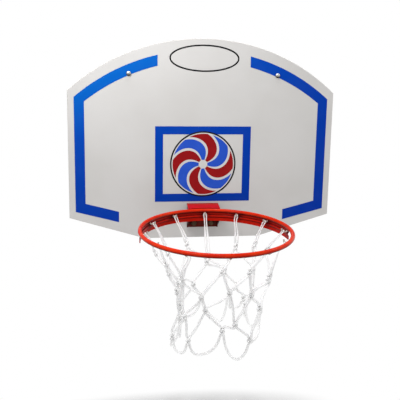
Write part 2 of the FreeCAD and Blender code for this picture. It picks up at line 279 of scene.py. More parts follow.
# enamel: thick gloss paint, deeper in random runs; its downward faces are darkened as painted shade, and its
# corners by an occlusion mask as painted shade
enamelFinish = {"runs": (34.0, 4.0, 0.55), "runRange": (0.35, 0.68), "sagShadeShare": 0.20,
                "sagShadeRange": (-0.80, 0.30), "reach": 0.022, "samples": 12, "cornerShadeRange": (0.40, 0.92),
                "peel": (260.0, 2.0, 0.4), "peelShare": 0.6, "bump": (0.14, 0.0006),
                "rough": 0.16, "runRough": 0.14, "roughRange": (0.4, 0.75), "ior": 1.5}
# the enamel on each piece: its full colour, the deeper one in the runs, and the painted shade colour in the
# corners
rimTone = {**enamelFinish, "full": (0.60, 0.029, 0.003, 1), "deep": (0.50, 0.013, 0.002, 1),
           "corner": (0.07, 0.002, 0.001, 1), "gloss": 0.07}
bracketTone = {**enamelFinish, "full": (0.46, 0.009, 0.005, 1), "deep": (0.40, 0.007, 0.004, 1),
               "corner": (0.035, 0.003, 0.0015, 1), "gloss": 0.13}
# band: a deeper red than the rod's, and a short, sharp corner mask that paints the rod's shadow on its upper
# strip: painted shade and painted shadow
bandTone = {**enamelFinish, "full": (0.54, 0.010, 0.002, 1), "deep": (0.46, 0.007, 0.002, 1),
            "corner": (0.080, 0.0008, 0.0006, 1), "gloss": 0.04, "reach": 0.016, "cornerShadeRange": (0.76, 1.0)}
# channel: near-black red, a dark paint that stands in for the shade under the top plate and band: painted
# shade
channelTone = {**enamelFinish, "full": (0.12, 0.009, 0.005, 1), "deep": (0.09, 0.007, 0.004, 1),
               "corner": (0.02, 0.004, 0.002, 1), "gloss": 0.06}


def enamelCoat(tree, finish):
    place = tree.objectCoords()
    runs = tree.noise(place, *finish["runs"])
    # ambient occlusion used as a mask: the corners take the corner colour as painted shade
    openness = tree.node("ShaderNodeAmbientOcclusion", {"samples": finish["samples"]},
                         {"Distance": finish["reach"]})["AO"]
    # a darkened copy of the deep colour, laid on downward faces as painted shade
    sagShade = tuple(finish["sagShadeShare"] * part for part in finish["deep"][:3]) + (1,)
    colour = tree.mixColour(tree.spread(runs, *finish["runRange"]), finish["full"], finish["deep"])
    colour = tree.mixColour(tree.spread(tree.facing("Z"), *finish["sagShadeRange"]), sagShade, colour)
    colour = tree.mixColour(tree.spread(openness, *finish["cornerShadeRange"]), finish["corner"], colour)
    peel = tree.noise(place, *finish["peel"])
    rough = finish["rough"] + finish["runRough"] * tree.spread(runs, *finish["roughRange"])
    return colour, rough, tree.bump(peel * finish["peelShare"] + runs, *finish["bump"])


def paintEnamel(finish):
    def build(tree):
        colour, rough, normal = enamelCoat(tree, finish)
        return principled(tree, {"Base Color": colour, "Roughness": rough, "IOR": finish["ior"],
                                 "Specular IOR Level": finish["gloss"], "Normal": normal})
    return build


# net hooks: the rod's enamel, rubbed down to the bare wire by the cord, all but at the root
hookFinish = {**enamelFinish, "full": (0.50, 0.022, 0.004, 1), "deep": (0.40, 0.016, 0.003, 1),
              "corner": (0.07, 0.002, 0.001, 1), "gloss": 0.13, "bare": (0.46, 0.40, 0.35, 1),
              "paintLeft": (0.0010, 0.0025), "bareRough": 0.34, "bareMetal": 0.6}


def paintHook(tree):
    colour, rough, normal = enamelCoat(tree, hookFinish)
    parts = tree.split(tree.objectCoords())
    across, deep, height = (parts[axis] - place for axis, place in zip("XYZ", ringCentre))
    outward = (across * across + deep * deep).root() - ringRadius
    fromRod = (outward * outward + height * height).root() - rodRadius
    bare = tree.spread(fromRod, *hookFinish["paintLeft"])
    colour = tree.mixColour(bare, colour, hookFinish["bare"])
    rough = rough * (1 - bare) + hookFinish["bareRough"] * bare
    return principled(tree, {"Base Color": colour, "Roughness": rough,
                             "Metallic": hookFinish["bareMetal"] * bare, "IOR": hookFinish["ior"],
                             "Specular IOR Level": hookFinish["gloss"], "Normal": normal})


# plated steel: browned zinc on the bracket's fasteners, kept dark as painted shade, and bright nickel on the
# fixing screws; the downward faces of both darken as painted shade
platingFinish = {"spangleScale": 340.0, "cloud": (120.0, 4.0, 0.6), "cloudRange": (0.35, 0.7),
                 "underShadeRange": (-0.55, 0.20), "cloudRough": 0.8, "spangleRough": 0.3, "bump": (0.10, 0.0003)}
# the zinc is kept dark brown to stand in for the shade that the bracket's fasteners sit in: painted shade
zincTone = {**platingFinish, "bright": (0.13, 0.075, 0.045, 1), "dull": (0.07, 0.040, 0.025, 1),
            "underShade": (0.03, 0.016, 0.010, 1), "rough": 0.40}
nickelTone = {**platingFinish, "bright": (0.55, 0.54, 0.52, 1), "dull": (0.40, 0.39, 0.37, 1),
              "underShade": (0.02, 0.018, 0.016, 1), "rough": 0.20}


def paintPlating(finish):
    def build(tree):
        place = tree.objectCoords()
        spangle = tree.node("ShaderNodeTexVoronoi", {"feature": "F1"},
                            {"Vector": place, "Scale": finish["spangleScale"]})["Distance"]
        cloud = tree.noise(place, *finish["cloud"])
        colour = tree.mixColour(tree.spread(cloud, *finish["cloudRange"]), finish["bright"], finish["dull"])
        # downward faces take the underShade colour: painted shade
        colour = tree.mixColour(tree.spread(tree.facing("Z"), *finish["underShadeRange"]), finish["underShade"], colour)
        rough = finish["rough"] + finish["rough"] * finish["cloudRough"] * cloud
        rough = rough + finish["rough"] * finish["spangleRough"] * spangle
        return principled(tree, {"Base Color": colour, "Metallic": 1.0, "Roughness": rough,
                                 "Normal": tree.bump(spangle + cloud, *finish["bump"])})
    return build


# net cord: soft white yarn, greyer in the grooves between its strands as painted shade, and greyer in random
# fibres
cordFinish = {"yarn": (0.90, 0.90, 0.896, 1), "lay": (0.87, 0.87, 0.864, 1), "crownRange": (0.0, 0.85),
              "around": 3.0, "along": 160.0, "fibre": (5.0, 4.0, 0.65), "fibreRange": (0.3, 0.75, 0.0, 0.16),
              "bump": (0.06, 0.0003), "rough": 0.86, "ior": 1.4, "gloss": 0.2, "sheen": 0.2,
              "sheenRough": 0.5, "soak": 1.0, "soakRadius": (1.0, 1.0, 1.0), "soakScale": 0.020}


def paintCord(tree):
    finish = cordFinish
    parts = tree.split(tree.node("ShaderNodeAttribute", {"attribute_name": "cordLay"})["Vector"])
    depth = tree.node("ShaderNodeAttribute", {"attribute_name": "cordCrown"})["Fac"]
    stretched = tree.vector(parts["X"] * finish["around"], parts["Y"] * finish["around"],
                            parts["Z"] * finish["along"])
    fibre = tree.noise(stretched, *finish["fibre"])
    crown = tree.spread(depth, *finish["crownRange"])
    # the grooves between the strands take the grey colour: painted shade
    colour = tree.mixColour(crown, finish["lay"], finish["yarn"])
    colour = tree.mixColour(tree.spread(fibre, *finish["fibreRange"]), colour, finish["lay"])
    return principled(tree, {"Base Color": colour, "Roughness": finish["rough"], "IOR": finish["ior"],
                             "Specular IOR Level": finish["gloss"], "Sheen Weight": finish["sheen"],
                             "Sheen Roughness": finish["sheenRough"], "Subsurface Weight": finish["soak"],
                             "Subsurface Radius": finish["soakRadius"],
                             "Subsurface Scale": finish["soakScale"],
                             "Normal": tree.bump(fibre, *finish["bump"])})


panelPaint = newMaterial("panelPaint", paintPanel)
blueFilm = newMaterial("blueFilm", paintFilm)
rimEnamel = newMaterial("rimEnamel", paintEnamel(rimTone))
hookEnamel = newMaterial("hookEnamel", paintHook)
bracketEnamel = newMaterial("bracketEnamel", paintEnamel(bracketTone))
bandEnamel = newMaterial("bandEnamel", paintEnamel(bandTone))
channelShadeEnamel = newMaterial("channelShadeEnamel", paintEnamel(channelTone))
shadeDarkZinc = newMaterial("shadeDarkZinc", paintPlating(zincTone))
brightNickel = newMaterial("brightNickel", paintPlating(nickelTone))
netYarn = newMaterial("netYarn", paintCord)
whiteInk = newMaterial("whiteInk", paintInk(whiteTone))
blackInk = newMaterial("blackInk", paintInk(blackTone))
paleBlueInk = newMaterial("paleBlueInk", paintInk(paleBlueTone))
darkRedInk = newMaterial("darkRedInk", paintInk(darkRedTone))

# the finish of each node; the cords and hooks have their own, and any other node is part of the rim
finishOfNode = {"backboard_panel": panelPaint, "border_stripe_left": blueFilm,
                "border_stripe_right": blueFilm, "target_square": blueFilm, "rim_band": bandEnamel,
                "bracket_channel": channelShadeEnamel, "bracket_top_plate": bracketEnamel,
                "bracket_bolts": shadeDarkZinc, "bracket_washers": shadeDarkZinc, "tee_nuts": shadeDarkZinc}
for name, node in nodes.items():
    node.data.materials.clear()
    if name.startswith("net_loop"):
        node.data.materials.append(netYarn)
    elif name.startswith("net_hook"):
        node.data.materials.append(hookEnamel)
    else:
        node.data.materials.append(finishOfNode.get(name, rimEnamel))
print("finishes on the CAD nodes:", len(nodes))


def linkPiece(name, mesh):
    piece = bpy.data.objects.new(name, mesh)
    bpy.context.scene.collection.objects.link(piece)
    return piece


def newTree(name, inputs):
    # geometry tree with the named inputs, which come back as fields
    group = bpy.data.node_groups.new(name, "GeometryNodeTree")
    group.interface.new_socket("Geometry", in_out="INPUT", socket_type="NodeSocketGeometry")
    for label, kind in inputs.items():
        group.interface.new_socket(label, in_out="INPUT", socket_type="NodeSocket" + kind)
    group.interface.new_socket("Geometry", in_out="OUTPUT", socket_type="NodeSocketGeometry")
    tree = NodeTree(group)
    return tree, tree.node("NodeGroupInput")


def endTree(tree, geometry, finish):
    real = tree.node("GeometryNodeRealizeInstances", None, {0: geometry})[0]
    painted = tree.node("GeometryNodeSetMaterial", None, {0: real, "Material": finish})[0]
    tree.node("NodeGroupOutput", None, {0: painted})


def growMesh(name, base, tree, values):
    # runs the tree on the base object and keeps its result as a plain mesh
    modifier = base.modifiers.new(name, "NODES")
    modifier.node_group = tree.tree
    for item in tree.tree.interface.items_tree:
        if item.in_out == "INPUT" and item.name in values:
            modifier[item.identifier] = values[item.name]
    graph = bpy.context.evaluated_depsgraph_get()
    mesh = bpy.data.meshes.new_from_object(base.evaluated_get(graph), depsgraph=graph)
    mesh.name = name
    base.modifiers.remove(modifier)
    bpy.data.objects.remove(base)
    return linkPiece(name, mesh)


def growPiece(name, tree, values):
    # a piece that needs nothing but its tree
    piece = growMesh(name, linkPiece(name + "Base", bpy.data.meshes.new(name + "Base")), tree, values)
    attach(piece, "root")
    print(name + ":", len(piece.data.polygons), "faces")


# net: twelve cord loops, one on each hook, twisted once round their neighbours at every joint
netMake = {"loops": 12, "cord": 0.005, "gap": 0.0005, "length": 0.220, "tailRadius": 0.080, "taper": 0.065,
           "jointRows": (0.21, 0.40, 0.59, 0.78), "joint": 0.016, "jointPoints": 7,
           "hookTurns": (90, 45, 0), "tailTurns": (1 / 3, 2 / 3, 1),
           "hookDrop": 0.007, "hookWire": 0.003, "hookStem": 0.004, "hookReach": 0.0132,
           "drawn": 0.50, "drawnFrom": 0.020, "drawnTo": 0.055, "pinchDrop": 0.0100, "pinchGap": 0.0012,
           "slipStep": 0.005, "sway": 0.0020, "seed": 11, "lineSteps": 5, "lineOrder": 3}
# how many steps each joint of the slack net has slipped along the rim, up and inwards:
# a row of loops for each row of joints, counted from the back, then the tails
netSlip = (
    ((0, -7, 3), (-1, -2, 1), (0, -3, 0), (0, 1, -1), (-2, 0, 0), (-4, -3, -2),
     (-1, 1, 2), (0, -1, 2), (-2, -5, -2), (1, 1, 1), (0, 0, 0), (-2, -3, 0)),
    ((-5, -2, -1), (0, -5, 1), (2, 0, 1), (2, -1, 3), (-3, 1, 2), (-3, -1, -1),
     (-2, 0, 2), (-3, -2, 0), (0, -1, -2), (-1, 1, 3), (-6, -3, -2), (-3, -4, 3)),
    ((-7, 2, -2), (-2, -2, 1), (1, -1, 3), (-2, 1, 3), (-2, -1, 2), (-5, -2, -1),
     (-6, 1, 2), (-5, -3, -1), (-1, -1, -1), (-1, 1, 3), (-4, -2, 0), (-4, -2, 1)),
    ((-2, 0, 0), (1, -2, 0), (-2, -1, 3), (-3, 0, 3), (-7, -4, -2), (-8, -2, -2),
     (-3, 1, 3), (-2, -3, -1), (2, 3, -1), (0, 2, 3), (-2, 1, -2), (-5, 2, 0)),
    ((-5, 0, 3), (0, 2, 0), (-3, 0, 0), (-2, 0, 3), (-6, 0, -1), (-8, 1, -2),
     (-8, 2, 0), (-4, 1, -2), (2, 5, -1), (0, 4, 1), (1, 4, -2), (-1, 5, -1)),
)


def netRadius(drop):
    mouth = ringRadius - (netMake["hookStem"] + netMake["hookReach"]) / 2
    return netMake["tailRadius"] + (mouth - netMake["tailRadius"]) * math.exp(-drop / netMake["taper"])


def netStrand(loop, side, sway):
    # from the top of the hook down one side of the loop to the middle of its tail
    loops = netMake["loops"]
    saddle = (netMake["hookWire"] + netMake["cord"]) / 2 + netMake["gap"]
    saddleZ = saddle - netMake["hookDrop"]
    lastStep = netMake["jointPoints"] - 1
    mate = (netMake["cord"] + netMake["gap"]) / 2
    reach = mate / math.cos(math.pi / lastStep)  # the smooth line cuts inside its points

    def slipped(row, owner):
        return [netMake["slipStep"] * steps for steps in netSlip[row][owner]]

    # over the hook the cord is drawn thin
    places = []
    seat = (netMake["hookWire"] + netMake["cord"] * netMake["drawn"]) / 2 + netMake["gap"]
    for turn in netMake["hookTurns"]:
        bend = math.radians(turn)
        height = seat * math.sin(bend) - netMake["hookDrop"]
        radius = netRadius(max(saddleZ - height, 0.0))
        places.append((radius, side * seat * math.cos(bend) / radius, height))
    # under the hook the weight of the net draws the two sides of the loop together
    pinch = (netMake["cord"] * netMake["drawn"] + netMake["pinchGap"]) / 2
    height = -netMake["hookDrop"] - netMake["pinchDrop"]
    radius = netRadius(saddleZ - height)
    places.append((radius, side * pinch / radius, height))
    for row, share in enumerate(netMake["jointRows"]):
        shared = row % 2
        along, up, inward = slipped(row, loop - 1 if shared and side < 0 else loop)
        start = 0.0 if (side > 0) != bool(shared) else math.pi
        joint = []
        for step in range(netMake["jointPoints"]):
            turn = start + 2 * math.pi * step / lastStep
            height = saddleZ - netMake["length"] * share + up + netMake["joint"] * (0.5 - step / lastStep)
            radius = netRadius(saddleZ - height) - inward + reach * math.sin(turn)
            angle = side * shared * math.pi / loops + (along + reach * math.cos(turn)) / radius
            joint.append((radius, angle, height))
        # half way to the joint, the slack cord hangs a little off its line
        wave, lift = sway[loop, side if row else 1, row]
        middle = [(first + second) / 2 for first, second in zip(places[-1], joint[0])]
        places.append((middle[0] + lift, middle[1] + wave / middle[0], middle[2]))
        places += joint
    along, up, footInward = slipped(-1, loop)
    footZ = saddleZ - netMake["length"] + up
    footAngle = along / (netRadius(saddleZ - footZ) - footInward)
    lastAngle, lastZ = places[-1][1:]
    for share in netMake["tailTurns"]:
        bend = share * math.pi / 2
        height = lastZ + (footZ - lastZ) * math.sin(bend)
        sunk = footInward + (inward - footInward) * math.cos(bend)
        angle = footAngle + (lastAngle - footAngle) * math.cos(bend)
        places.append((netRadius(saddleZ - height) - sunk, angle, height))
    hook = math.pi / 2 + 2 * math.pi * loop / loops
    return [ringCentre + Vector((radius * math.cos(hook + angle), radius * math.sin(hook + angle), height))
            for radius, angle, height in places]


def netCurve():
    draw = random.Random(netMake["seed"])
    sway = {(loop, side, row): [draw.uniform(-1, 1) * netMake["sway"] for _ in range(2)]
            for loop in range(netMake["loops"]) for side in (-1, 1)
            for row in range(len(netMake["jointRows"]))}
    line = bpy.data.curves.new("netRoutes", "CURVE")
    line.dimensions = "3D"
    line.resolution_u = netMake["lineSteps"]
    for loop in range(netMake["loops"]):
        route = netStrand(loop, -1, sway)[::-1] + netStrand(loop, 1, sway)[1:-1]
        spline = line.splines.new("NURBS")
        spline.points.add(len(route) - 1)
        for point, place in zip(spline.points, route):
            point.co = (*place, 1.0)
        spline.order_u = netMake["lineOrder"]
        spline.use_cyclic_u = True
    return linkPiece("netRoutes", line)


# three-strand cord along each spline: a lobed section that turns as it goes
cordMake = {"Cord Radius": 0.0025, "Lay Length": 0.019, "Step": 0.0015, "Strands": 3, "Strand Faces": 4,
            "Groove": 0.12, "Drawn": netMake["drawn"], "Drawn From": ringCentre.z - netMake["drawnFrom"],
            "Drawn To": ringCentre.z - netMake["drawnTo"]}


def cordTree():
    tree, given = newTree("laidCord", {"Cord Radius": "Float", "Lay Length": "Float", "Step": "Float",
                                       "Strands": "Int", "Strand Faces": "Int", "Groove": "Float",
                                       "Drawn": "Float", "Drawn From": "Float", "Drawn To": "Float",
                                       "Material": "Material"})
    along = tree.node("GeometryNodeSplineParameter")
    total = tree.node("GeometryNodeSplineLength")["Length"]
    turns = (total / given["Lay Length"]).whole()
    even = tree.node("GeometryNodeResampleCurve", {"mode": "LENGTH"},
                     {"Curve": given["Geometry"], "Length": given["Step"]})[0]
    laid = tree.node("GeometryNodeSetCurveTilt", None,
                     {"Curve": even, "Tilt": along["Factor"] * turns * (2 * math.pi)})[0]
    marked = tree.node("GeometryNodeStoreNamedAttribute", {"data_type": "FLOAT", "domain": "POINT"},
                       {"Geometry": laid, "Name": "cordAlong", "Value": along["Length"]})[0]
    ring = tree.node("GeometryNodeCurvePrimitiveCircle", {"mode": "RADIUS"},
                     {"Resolution": given["Strands"] * given["Strand Faces"], "Radius": 1.0})["Curve"]
    angle = along["Factor"] * (2 * math.pi)
    lobe = (angle * given["Strands"] * 0.5).cosine().unsigned()
    reach = given["Cord Radius"] * (1 - given["Groove"] * (1 - lobe))
    crowned = tree.node("GeometryNodeStoreNamedAttribute", {"data_type": "FLOAT", "domain": "POINT"},
                        {"Geometry": ring, "Name": "cordCrown", "Value": lobe})[0]
    rounded = tree.node("GeometryNodeStoreNamedAttribute", {"data_type": "FLOAT_VECTOR", "domain": "POINT"},
                        {"Geometry": crowned, "Name": "cordTurn",
                         "Value": tree.vector(angle.cosine(), angle.sine())})[0]
    section = tree.node("GeometryNodeSetPosition", None,
                        {"Geometry": rounded,
                         "Position": tree.vector(angle.cosine() * reach, angle.sine() * reach)})[0]
    height = tree.split(tree.node("GeometryNodeInputPosition")[0])["Z"]
    drawn = tree.spread(height, given["Drawn To"], given["Drawn From"], 1.0, given["Drawn"])
    tube = tree.node("GeometryNodeCurveToMesh", None,
                     {"Curve": marked, "Profile Curve": section, "Scale": drawn, "Fill Caps": False})[0]
    turn = tree.node("GeometryNodeInputNamedAttribute", {"data_type": "FLOAT_VECTOR"},
                     {"Name": "cordTurn"})[0]
    length = tree.node("GeometryNodeInputNamedAttribute", {"data_type": "FLOAT"}, {"Name": "cordAlong"})[0]
    parts = tree.split(turn)
    marked = tree.node("GeometryNodeStoreNamedAttribute", {"data_type": "FLOAT_VECTOR", "domain": "POINT"},
                       {"Geometry": tube, "Name": "cordLay",
                        "Value": tree.vector(parts["X"], parts["Y"], length)})[0]
    smooth = tree.node("GeometryNodeSetShadeSmooth", None, {"Geometry": marked, "Shade Smooth": True})[0]
    endTree(tree, smooth, given["Material"])
    return tree


netCords = growMesh("netCords", netCurve(), cordTree(), {**cordMake, "Material": netYarn})
for spare in ("cordAlong", "cordTurn"):
    netCords.data.attributes.remove(netCords.data.attributes[spare])
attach(netCords, "root")
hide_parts(*[name for name in nodes if name.startswith("net_loop")])
print("net cords:", len(netCords.data.polygons), "faces")

# border film, left and right: a broad line inside the edge of the board, from the top round to the foot
borderMake = {"film": 0.00025, "steps": 32, "topEnd": 0.104, "footEnd": 0.190, "footSlope": 0.263,
              "outer": {"side": 0.286, "radius": 0.440, "crest": 0.0538, "foot": -0.3331},
              "inner": {"side": 0.264, "radius": 0.425, "crest": 0.0304, "foot": -0.3090}}


def borderEdge(edge):
    # one edge of the line: the arc from its top end, the straight side, then the slope to its foot
    line = []
    for step in range(borderMake["steps"] + 1):
        x = borderMake["topEnd"] + (edge["side"] - borderMake["topEnd"]) * step / borderMake["steps"]
        line.append((x, edge["crest"] - edge["radius"] + math.sqrt(edge["radius"] ** 2 - x ** 2)))
    rise = (edge["side"] - borderMake["footEnd"]) * borderMake["footSlope"]
    line.append((edge["side"], edge["foot"] + rise))
    line.append((borderMake["footEnd"], edge["foot"]))
    return line


def addBorder(name, node, hand):
    outer, inner = borderEdge(borderMake["outer"]), borderEdge(borderMake["inner"])
    form = bmesh.new()
    rows = [[form.verts.new((hand * x, y, z)) for y in (frontY, frontY - borderMake["film"])
             for x, z in (outerSpot, innerSpot)] for outerSpot, innerSpot in zip(outer, inner)]
    for near, far in zip(rows, rows[1:]):
        for first, second in ((0, 1), (1, 3), (3, 2), (2, 0)):
            form.faces.new((near[first], near[second], far[second], far[first]))
    for end in (rows[0], rows[-1]):
        form.faces.new((end[0], end[1], end[3], end[2]))
    bmesh.ops.recalc_face_normals(form, faces=form.faces)
    mesh = bpy.data.meshes.new(name)
    form.to_mesh(mesh)
    form.free()
    mesh.materials.append(blueFilm)
    piece = linkPiece(name, mesh)
    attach(piece, "root")
    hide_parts(node)


addBorder("borderLeft", "border_stripe_left", -1)
addBorder("borderRight", "border_stripe_right", 1)
print("border film: 2 pieces")

# printed marks: flat shapes drawn in their own plane, then stood up on the front of the panel
standUp = (math.pi / 2, 0, 0)
mergeGap = 0.00001


def thicken(tree, face, depth):
    # a closed slab: the drawn face raised by the depth, over the same face turned to the back
    raised = tree.node("GeometryNodeExtrudeMesh", {"mode": "FACES"},
                       {"Mesh": face, "Offset": (0, 0, 1), "Offset Scale": depth,
                        "Individual": False})["Mesh"]
    under = tree.node("GeometryNodeFlipFaces", None, {0: face})[0]
    both = tree.node("GeometryNodeJoinGeometry", None, {0: [raised, under]})[0]
    return tree.node("GeometryNodeMergeByDistance", None, {"Geometry": both, "Distance": mergeGap})[0]


def discTree():
    tree, given = newTree("printedDisc", {"Radius": "Float", "Depth": "Float", "Segments": "Int",
                                          "Place": "Vector", "Material": "Material"})
    edge = tree.node("GeometryNodeCurvePrimitiveCircle", {"mode": "RADIUS"},
                     {"Resolution": given["Segments"], "Radius": given["Radius"]})["Curve"]
    face = tree.node("GeometryNodeFillCurve", {"mode": "NGONS"}, {0: edge})[0]
    slab = thicken(tree, face, given["Depth"])
    endTree(tree, tree.turned(slab, standUp, given["Place"]), given["Material"])
    return tree


def lineTree():
    # a round or oval line of even width
    tree, given = newTree("printedLine", {"Half Width": "Float", "Half Height": "Float", "Line": "Float",
                                          "Depth": "Float", "Segments": "Int", "Place": "Vector",
                                          "Material": "Material"})
    edge = tree.node("GeometryNodeCurvePrimitiveCircle", {"mode": "RADIUS"},
                     {"Resolution": given["Segments"], "Radius": 1.0})["Curve"]
    angle = tree.node("GeometryNodeSplineParameter")["Factor"] * (2 * math.pi)
    oval = tree.node("GeometryNodeSetPosition", None,
                     {"Geometry": edge, "Position": tree.vector(angle.cosine() * given["Half Width"],
                                                                angle.sine() * given["Half Height"])})[0]
    flat = tree.node("GeometryNodeSetCurveNormal", {"mode": "Z_UP"}, {0: oval})[0]
    section = tree.node("GeometryNodeCurvePrimitiveQuadrilateral", {"mode": "RECTANGLE"},
                        {"Width": given["Line"], "Height": given["Depth"]})["Curve"]
    ring = tree.node("GeometryNodeCurveToMesh", None, {"Curve": flat, "Profile Curve": section})[0]
    lifted = tree.turned(ring, (0, 0, 0), tree.vector(0.0, 0.0, given["Depth"] * 0.5))
    endTree(tree, tree.turned(lifted, standUp, given["Place"]), given["Material"])
    return tree


def petalTree():
    # one swirled wedge, repeated round the middle
    tree, given = newTree("swirlPetals", {"Petals": "Int", "Start": "Float", "Wedge": "Float",
                                          "Swirl": "Float", "Inner": "Float", "Outer": "Float",
                                          "Depth": "Float", "Rings": "Int", "Rays": "Int",
                                          "Place": "Vector", "Material": "Material"})
    grid = tree.node("GeometryNodeMeshGrid", None,
                     {"Size X": 1.0, "Size Y": 1.0,
                      "Vertices X": given["Rings"], "Vertices Y": given["Rays"]})[0]
    spot = tree.split(tree.node("GeometryNodeInputPosition")[0])
    outward = spot["X"] + 0.5
    radius = given["Inner"] + (given["Outer"] - given["Inner"]) * outward
    angle = spot["Y"] * given["Wedge"] + given["Swirl"] * outward * outward
    petal = tree.node("GeometryNodeSetPosition", None,
                      {"Geometry": grid,
                       "Position": tree.vector(angle.cosine() * radius, angle.sine() * radius)})[0]
    slab = thicken(tree, petal, given["Depth"])
    spots = tree.node("GeometryNodePoints", None, {"Count": given["Petals"]})[0]
    turn = given["Start"] + tree.node("GeometryNodeInputIndex")[0] * (2 * math.pi) / given["Petals"]
    spin = tree.node("FunctionNodeEulerToRotation", None, {0: tree.vector(0.0, 0.0, turn)})[0]
    around = tree.node("GeometryNodeInstanceOnPoints", None,
                       {"Points": spots, "Instance": slab, "Rotation": spin})[0]
    endTree(tree, tree.turned(around, standUp, given["Place"]), given["Material"])
    return tree


# roundel over the target: a pinwheel in two colours on a white ground, inside a thin black line
roundelMake = {"radius": 0.0735, "line": 0.0034, "ground": 0.0003, "ink": 0.00012, "petals": 4, "wedge": 0.62,
               "swirl": 0.95, "hub": 0.010, "margin": 0.0040, "groundSides": 128, "lineSides": 160,
               "rings": 20, "rays": 12}
# plain oval near the top of the board
ovalMake = {"rise": 0.0355, "halfWidth": 0.0765, "halfHeight": 0.0280, "line": 0.0034, "ink": 0.00015,
            "lineSides": 160}


def addPrints():
    middle = Vector((targetCentre.x, frontY, targetCentre.z))
    onGround = middle - Vector((0, roundelMake["ground"], 0))
    growPiece("roundelGround", discTree(),
              {"Radius": roundelMake["radius"], "Depth": roundelMake["ground"],
               "Segments": roundelMake["groundSides"], "Place": middle, "Material": whiteInk})
    petal = petalTree()
    for name, start, ink, slot in (("roundelBlue", 0.0, paleBlueInk, "marking_blue"),
                                   ("roundelRed", math.pi / roundelMake["petals"], darkRedInk, "rim_red")):
        growPiece(name, petal,
                  {"Petals": roundelMake["petals"], "Start": start, "Wedge": roundelMake["wedge"],
                   "Swirl": roundelMake["swirl"], "Inner": roundelMake["hub"],
                   "Outer": roundelMake["radius"] - roundelMake["margin"], "Depth": roundelMake["ink"],
                   "Rings": roundelMake["rings"], "Rays": roundelMake["rays"],
                   "Place": onGround, "Material": ink})
    line = lineTree()
    growPiece("roundelLine", line,
              {"Half Width": roundelMake["radius"], "Half Height": roundelMake["radius"],
               "Line": roundelMake["line"], "Depth": roundelMake["ground"] + roundelMake["ink"],
               "Segments": roundelMake["lineSides"], "Place": middle, "Material": blackInk})
    growPiece("ovalLine", line,
              {"Half Width": ovalMake["halfWidth"], "Half Height": ovalMake["halfHeight"],
               "Line": ovalMake["line"], "Depth": ovalMake["ink"], "Segments": ovalMake["lineSides"],
               "Place": Vector((targetCentre.x, frontY, ovalMake["rise"])),
               "Material": blackInk})


addPrints()

# weld beads where the hooks leave the rod: a rippled ring of metal round each root
weldMake = {"Hooks": 12, "Root Out": -0.0020, "Root Down": 0.0035, "Tip": 0.519, "Wire": 0.0016,
            "Wire Sides": 36, "Bead": 0.0009, "Bead Sides": 8, "Ripples": 9, "Ripple": 0.16}


def weldTree():
    tree, given = newTree("hookWelds", {"Hooks": "Int", "Root Out": "Float", "Root Down": "Float",
                                        "Tip": "Float", "Wire": "Float", "Wire Sides": "Int",
                                        "Bead": "Float", "Bead Sides": "Int", "Ripples": "Int",
                                        "Ripple": "Float", "Ring Radius": "Float", "Place": "Vector",
                                        "Material": "Material"})
    ring = tree.node("GeometryNodeCurvePrimitiveCircle", {"mode": "RADIUS"},
                     {"Resolution": given["Wire Sides"], "Radius": given["Wire"]})["Curve"]
    around = tree.node("GeometryNodeSplineParameter")["Factor"] * (2 * math.pi)
    swell = 1 + given["Ripple"] * (around * given["Ripples"]).sine()
    section = tree.node("GeometryNodeCurvePrimitiveCircle", {"mode": "RADIUS"},
                        {"Resolution": given["Bead Sides"], "Radius": given["Bead"]})["Curve"]
    bead = tree.node("GeometryNodeCurveToMesh", None,
                     {"Curve": ring, "Profile Curve": section, "Scale": swell})[0]
    root = tree.turned(bead, tree.vector(0.0, given["Tip"], 0.0),
                       tree.vector(given["Ring Radius"] + given["Root Out"], 0.0, 0.0 - given["Root Down"]))
    spots = tree.node("GeometryNodePoints", None, {"Count": given["Hooks"]})[0]
    turn = math.pi / 2 + tree.node("GeometryNodeInputIndex")[0] * (2 * math.pi) / given["Hooks"]
    spin = tree.node("FunctionNodeEulerToRotation", None, {0: tree.vector(0.0, 0.0, turn)})[0]
    hooks = tree.node("GeometryNodeInstanceOnPoints", None,
                      {"Points": spots, "Instance": root, "Rotation": spin})[0]
    smooth = tree.node("GeometryNodeSetShadeSmooth", None, {"Geometry": hooks, "Shade Smooth": True})[0]
    endTree(tree, tree.turned(smooth, (0, 0, 0), given["Place"]), given["Material"])
    return tree


growPiece("hookWelds", weldTree(),
          {**weldMake, "Ring Radius": ringRadius, "Place": ringCentre, "Material": rimEnamel})

# fixing screws in the two wall holes: plain domed heads on the front, shanks through to the back
screwMake = {"Head Radius": 0.0054, "Head Sides": 40, "Head Rings": 8, "Dome": 0.0030, "Rim": 0.0006,
             "Shank Radius": 0.0040, "Shank Sides": 24, "Shank": panelHigh.y - panelLow.y}


